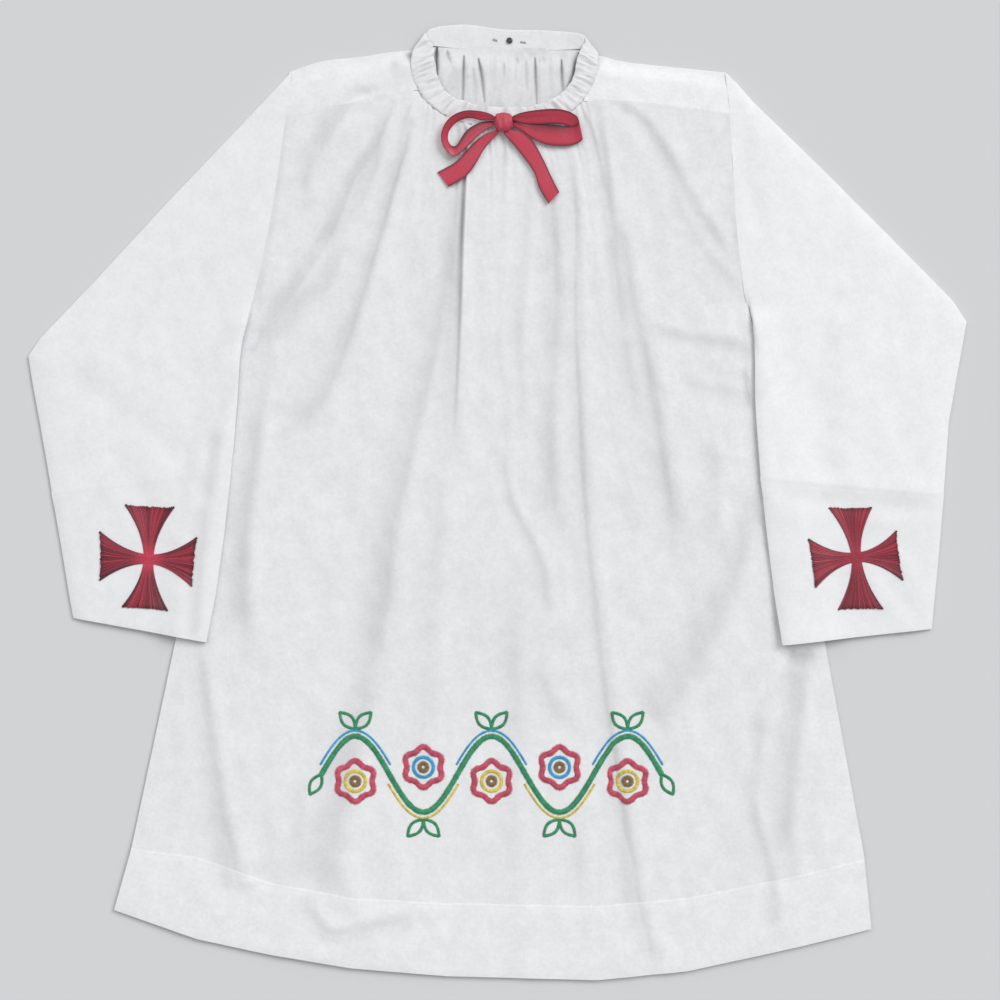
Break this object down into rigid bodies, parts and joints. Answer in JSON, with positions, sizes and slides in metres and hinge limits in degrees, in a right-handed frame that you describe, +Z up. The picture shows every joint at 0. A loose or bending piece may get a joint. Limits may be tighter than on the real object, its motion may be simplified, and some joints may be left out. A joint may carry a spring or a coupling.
{
  "type": "rochet",
  "caption": "White knee-length rochet laid flat: gathered body and neckband, bent sleeves with deep doubled cuffs, deep hem band and a red ribbon bow at the neck.",
  "frame": {"origin": "on the surface the garment lies on, under the middle of its outline", "axes": "+Z up from the surface, +Y from the hem towards the neck, +X towards the right in the view from above"},
  "size_m": [0.939, 0.9558, 0.02],
  "materials": {
    "cotton": "matt plain-weave cotton",
    "doubled_cotton": "matt plain-weave cotton, folded double",
    "satin_ribbon": "red satin ribbon",
    "stud": "dark moulded stud"
  },
  "bodies": {
    "root": {"back_body": "cotton", "front_body": "cotton", "strap_left": "cotton", "strap_right": "cotton", "sleeve_left": "cotton", "sleeve_right": "cotton", "hem_back": "doubled_cotton", "hem_front": "doubled_cotton", "cuff_left": "doubled_cotton", "cuff_right": "doubled_cotton", "neckband": "doubled_cotton", "ribbon_loop_left": "satin_ribbon", "ribbon_loop_right": "satin_ribbon", "ribbon_tail_left": "satin_ribbon", "ribbon_tail_right": "satin_ribbon", "ribbon_knot": "satin_ribbon", "neck_stud": "stud"}
  },
  "joints": []
}
